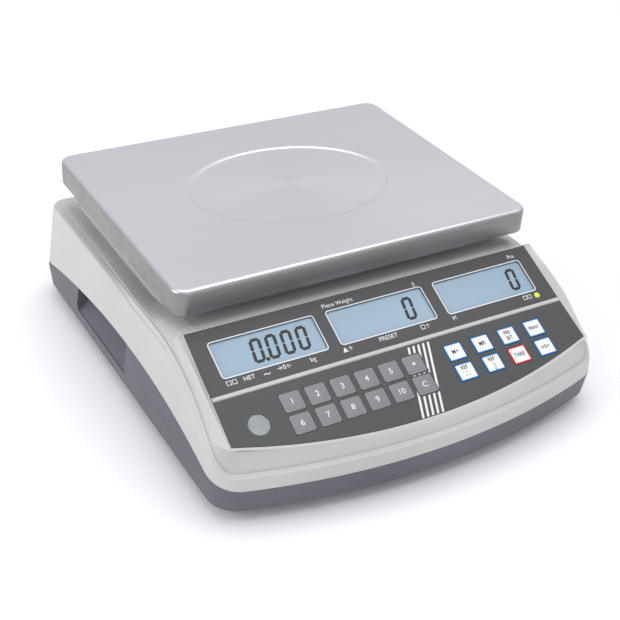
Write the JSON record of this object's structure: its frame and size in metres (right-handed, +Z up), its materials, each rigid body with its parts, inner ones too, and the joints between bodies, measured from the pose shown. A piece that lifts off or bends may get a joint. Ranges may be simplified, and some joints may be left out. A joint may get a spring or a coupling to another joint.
{
  "type": "counting scale",
  "caption": "Bench counting scale with a stainless weighing pan on a load cell, a sloping console with three number displays, a keypad and levelling feet.",
  "frame": {"origin": "on the table under the middle of the scale's outline", "axes": "+Z up; the console and its displays face -Y; +X to the right as the user sees it"},
  "size_m": [0.32, 0.355, 0.125],
  "materials": {
    "stainless_sheet": "satin stainless sheet with brighter rolled edges",
    "light_shell": "moulded ABS, fine satin grain, light grey",
    "dark_shell": "moulded ABS, fine satin grain, dark grey",
    "overlay_film": "polyester film with a fine matt texture, printed behind",
    "display_glass": "lit liquid crystal panel, pale blue grey",
    "number_key": "printed key face under film, mid grey",
    "function_key": "printed key face under film, white with a coloured border",
    "circuit_board": "green solder mask",
    "cell_aluminium": "milled",
    "cast_alloy": "as cast",
    "steel": "zinc plated",
    "rubber": "moulded, matt",
    "black_plastic": "moulded nylon, satin",
    "clear_plastic": "clear polished plastic",
    "level_fluid": "clear vial with yellow green fluid",
    "lamp_lens": "diffusing yellow green lens",
    "battery_case": "moulded ABS"
  },
  "bodies": {
    "base": {"upper_housing": "light_shell", "lower_housing": "dark_shell", "battery": "battery_case", "main_board": "circuit_board", "display_overlay": "overlay_film", "keypad_overlay": "overlay_film", "lcd_weight": "display_glass", "lcd_piece_weight": "display_glass", "lcd_piece_count": "display_glass", "display_board": "circuit_board", "keypad_board": "circuit_board", "level_window": "clear_plastic", "level_vial": "level_fluid", "status_lamp": "lamp_lens", "load_cell": "cell_aluminium", "load_cell_base": "cell_aluminium", "overload_stop": "steel", "cell_screw_left": "steel", "cell_screw_right": "steel", "power_inlet": "black_plastic", "serial_socket": "steel", "switch_bezel": "black_plastic"},
    "load_platform": {"pan_support": "cast_alloy", "support_screw_left": "steel", "support_screw_right": "steel", "pan_pad_front_left": "rubber", "pan_pad_front_right": "rubber", "pan_pad_rear_left": "rubber", "pan_pad_rear_right": "rubber"},
    "pan": {"weighing_pan": "stainless_sheet"},
    "battery_cover": {"battery_door": "dark_shell"},
    "power_rocker": {"switch_rocker": "black_plastic"},
    "key_1_cap": {"key_1": "number_key"},
    "key_2_cap": {"key_2": "number_key"},
    "key_3_cap": {"key_3": "number_key"},
    "key_4_cap": {"key_4": "number_key"},
    "key_5_cap": {"key_5": "number_key"},
    "key_point_cap": {"key_point": "number_key"},
    "key_6_cap": {"key_6": "number_key"},
    "key_7_cap": {"key_7": "number_key"},
    "key_8_cap": {"key_8": "number_key"},
    "key_9_cap": {"key_9": "number_key"},
    "key_10_cap": {"key_10": "number_key"},
    "key_clear_cap": {"key_clear": "number_key"},
    "key_memory_add_cap": {"key_memory_add": "function_key"},
    "key_memory_recall_cap": {"key_memory_recall": "function_key"},
    "key_preset_cap": {"key_preset": "function_key"},
    "key_print_cap": {"key_print": "function_key"},
    "key_reference_heap_cap": {"key_reference_heap": "function_key"},
    "key_reference_bottle_cap": {"key_reference_bottle": "function_key"},
    "key_tare_cap": {"key_tare": "function_key"},
    "key_zero_cap": {"key_zero": "function_key"},
    "foot_front_left_sole": {"foot_pad_front_left": "rubber"},
    "foot_front_left_screw": {"foot_wheel_front_left": "black_plastic"},
    "foot_front_right_sole": {"foot_pad_front_right": "rubber"},
    "foot_front_right_screw": {"foot_wheel_front_right": "black_plastic"},
    "foot_rear_left_sole": {"foot_pad_rear_left": "rubber"},
    "foot_rear_left_screw": {"foot_wheel_rear_left": "black_plastic"},
    "foot_rear_right_sole": {"foot_pad_rear_right": "rubber"},
    "foot_rear_right_screw": {"foot_wheel_rear_right": "black_plastic"}
  },
  "joints": [
    {"name": "platform_deflection", "type": "slide", "parent": "base", "child": "load_platform", "axis": [0, 0, 1], "range_m": [-0.0005, 0], "stiffness_N_per_m": 20000, "springref_m": 0.002, "deforming": ["load_cell"]},
    {"name": "pan_lift", "type": "slide", "parent": "load_platform", "child": "pan", "axis": [0, 0, 1], "range_m": [0, 0.06]},
    {"name": "battery_cover_hinge", "type": "hinge", "parent": "base", "child": "battery_cover", "pos_m": [0, 0.0811, 0.01], "axis": [-1, 0, 0], "range_deg": [0, 80]},
    {"name": "rocker_tilt", "type": "hinge", "parent": "base", "child": "power_rocker", "pos_m": [0.068, 0.17308, 0.064], "axis": [-1, 0, 0], "range_deg": [0, 18]},
    {"name": "key_1_press", "type": "slide", "parent": "base", "child": "key_1_cap", "axis": [0, 0.4383, -0.8988], "range_m": [0, 0.0005], "stiffness_N_per_m": 800, "springref_m": -0.0005},
    {"name": "key_2_press", "type": "slide", "parent": "base", "child": "key_2_cap", "axis": [0, 0.4383, -0.8988], "range_m": [0, 0.0005], "stiffness_N_per_m": 800, "springref_m": -0.0005},
    {"name": "key_3_press", "type": "slide", "parent": "base", "child": "key_3_cap", "axis": [0, 0.4383, -0.8988], "range_m": [0, 0.0005], "stiffness_N_per_m": 800, "springref_m": -0.0005},
    {"name": "key_4_press", "type": "slide", "parent": "base", "child": "key_4_cap", "axis": [0, 0.4383, -0.8988], "range_m": [0, 0.0005], "stiffness_N_per_m": 800, "springref_m": -0.0005},
    {"name": "key_5_press", "type": "slide", "parent": "base", "child": "key_5_cap", "axis": [0, 0.4383, -0.8988], "range_m": [0, 0.0005], "stiffness_N_per_m": 800, "springref_m": -0.0005},
    {"name": "key_point_press", "type": "slide", "parent": "base", "child": "key_point_cap", "axis": [0, 0.4383, -0.8988], "range_m": [0, 0.0005], "stiffness_N_per_m": 800, "springref_m": -0.0005},
    {"name": "key_6_press", "type": "slide", "parent": "base", "child": "key_6_cap", "axis": [0, 0.4383, -0.8988], "range_m": [0, 0.0005], "stiffness_N_per_m": 800, "springref_m": -0.0005},
    {"name": "key_7_press", "type": "slide", "parent": "base", "child": "key_7_cap", "axis": [0, 0.4383, -0.8988], "range_m": [0, 0.0005], "stiffness_N_per_m": 800, "springref_m": -0.0005},
    {"name": "key_8_press", "type": "slide", "parent": "base", "child": "key_8_cap", "axis": [0, 0.4383, -0.8988], "range_m": [0, 0.0005], "stiffness_N_per_m": 800, "springref_m": -0.0005},
    {"name": "key_9_press", "type": "slide", "parent": "base", "child": "key_9_cap", "axis": [0, 0.4383, -0.8988], "range_m": [0, 0.0005], "stiffness_N_per_m": 800, "springref_m": -0.0005},
    {"name": "key_10_press", "type": "slide", "parent": "base", "child": "key_10_cap", "axis": [0, 0.4383, -0.8988], "range_m": [0, 0.0005], "stiffness_N_per_m": 800, "springref_m": -0.0005},
    {"name": "key_clear_press", "type": "slide", "parent": "base", "child": "key_clear_cap", "axis": [0, 0.4383, -0.8988], "range_m": [0, 0.0005], "stiffness_N_per_m": 800, "springref_m": -0.0005},
    {"name": "key_memory_add_press", "type": "slide", "parent": "base", "child": "key_memory_add_cap", "axis": [0, 0.4383, -0.8988], "range_m": [0, 0.0005], "stiffness_N_per_m": 800, "springref_m": -0.0005},
    {"name": "key_memory_recall_press", "type": "slide", "parent": "base", "child": "key_memory_recall_cap", "axis": [0, 0.4383, -0.8988], "range_m": [0, 0.0005], "stiffness_N_per_m": 800, "springref_m": -0.0005},
    {"name": "key_preset_press", "type": "slide", "parent": "base", "child": "key_preset_cap", "axis": [0, 0.4383, -0.8988], "range_m": [0, 0.0005], "stiffness_N_per_m": 800, "springref_m": -0.0005},
    {"name": "key_print_press", "type": "slide", "parent": "base", "child": "key_print_cap", "axis": [0, 0.4383, -0.8988], "range_m": [0, 0.0005], "stiffness_N_per_m": 800, "springref_m": -0.0005},
    {"name": "key_reference_heap_press", "type": "slide", "parent": "base", "child": "key_reference_heap_cap", "axis": [0, 0.4383, -0.8988], "range_m": [0, 0.0005], "stiffness_N_per_m": 800, "springref_m": -0.0005},
    {"name": "key_reference_bottle_press", "type": "slide", "parent": "base", "child": "key_reference_bottle_cap", "axis": [0, 0.4383, -0.8988], "range_m": [0, 0.0005], "stiffness_N_per_m": 800, "springref_m": -0.0005},
    {"name": "key_tare_press", "type": "slide", "parent": "base", "child": "key_tare_cap", "axis": [0, 0.4383, -0.8988], "range_m": [0, 0.0005], "stiffness_N_per_m": 800, "springref_m": -0.0005},
    {"name": "key_zero_press", "type": "slide", "parent": "base", "child": "key_zero_cap", "axis": [0, 0.4383, -0.8988], "range_m": [0, 0.0005], "stiffness_N_per_m": 800, "springref_m": -0.0005},
    {"name": "foot_front_left_height", "type": "slide", "parent": "base", "child": "foot_front_left_sole", "axis": [0, 0, -1], "range_m": [0, 0.0051]},
    {"name": "foot_front_left_turn", "type": "hinge", "parent": "foot_front_left_sole", "child": "foot_front_left_screw", "pos_m": [-0.124, -0.1235, 0.006], "axis": [0, 0, -1], "range_deg": [0, 1440]},
    {"name": "foot_front_right_height", "type": "slide", "parent": "base", "child": "foot_front_right_sole", "axis": [0, 0, -1], "range_m": [0, 0.0051]},
    {"name": "foot_front_right_turn", "type": "hinge", "parent": "foot_front_right_sole", "child": "foot_front_right_screw", "pos_m": [0.124, -0.1235, 0.006], "axis": [0, 0, -1], "range_deg": [0, 1440]},
    {"name": "foot_rear_left_height", "type": "slide", "parent": "base", "child": "foot_rear_left_sole", "axis": [0, 0, -1], "range_m": [0, 0.0051]},
    {"name": "foot_rear_left_turn", "type": "hinge", "parent": "foot_rear_left_sole", "child": "foot_rear_left_screw", "pos_m": [-0.124, 0.1435, 0.006], "axis": [0, 0, -1], "range_deg": [0, 1440]},
    {"name": "foot_rear_right_height", "type": "slide", "parent": "base", "child": "foot_rear_right_sole", "axis": [0, 0, -1], "range_m": [0, 0.0051]},
    {"name": "foot_rear_right_turn", "type": "hinge", "parent": "foot_rear_right_sole", "child": "foot_rear_right_screw", "pos_m": [0.124, 0.1435, 0.006], "axis": [0, 0, -1], "range_deg": [0, 1440]}
  ],
  "couplings": [
    {"joint": "foot_front_left_height", "follows": "foot_front_left_turn", "m_per_rad": 0.00019894},
    {"joint": "foot_front_right_height", "follows": "foot_front_right_turn", "m_per_rad": 0.00019894},
    {"joint": "foot_rear_left_height", "follows": "foot_rear_left_turn", "m_per_rad": 0.00019894},
    {"joint": "foot_rear_right_height", "follows": "foot_rear_right_turn", "m_per_rad": 0.00019894}
  ]
}
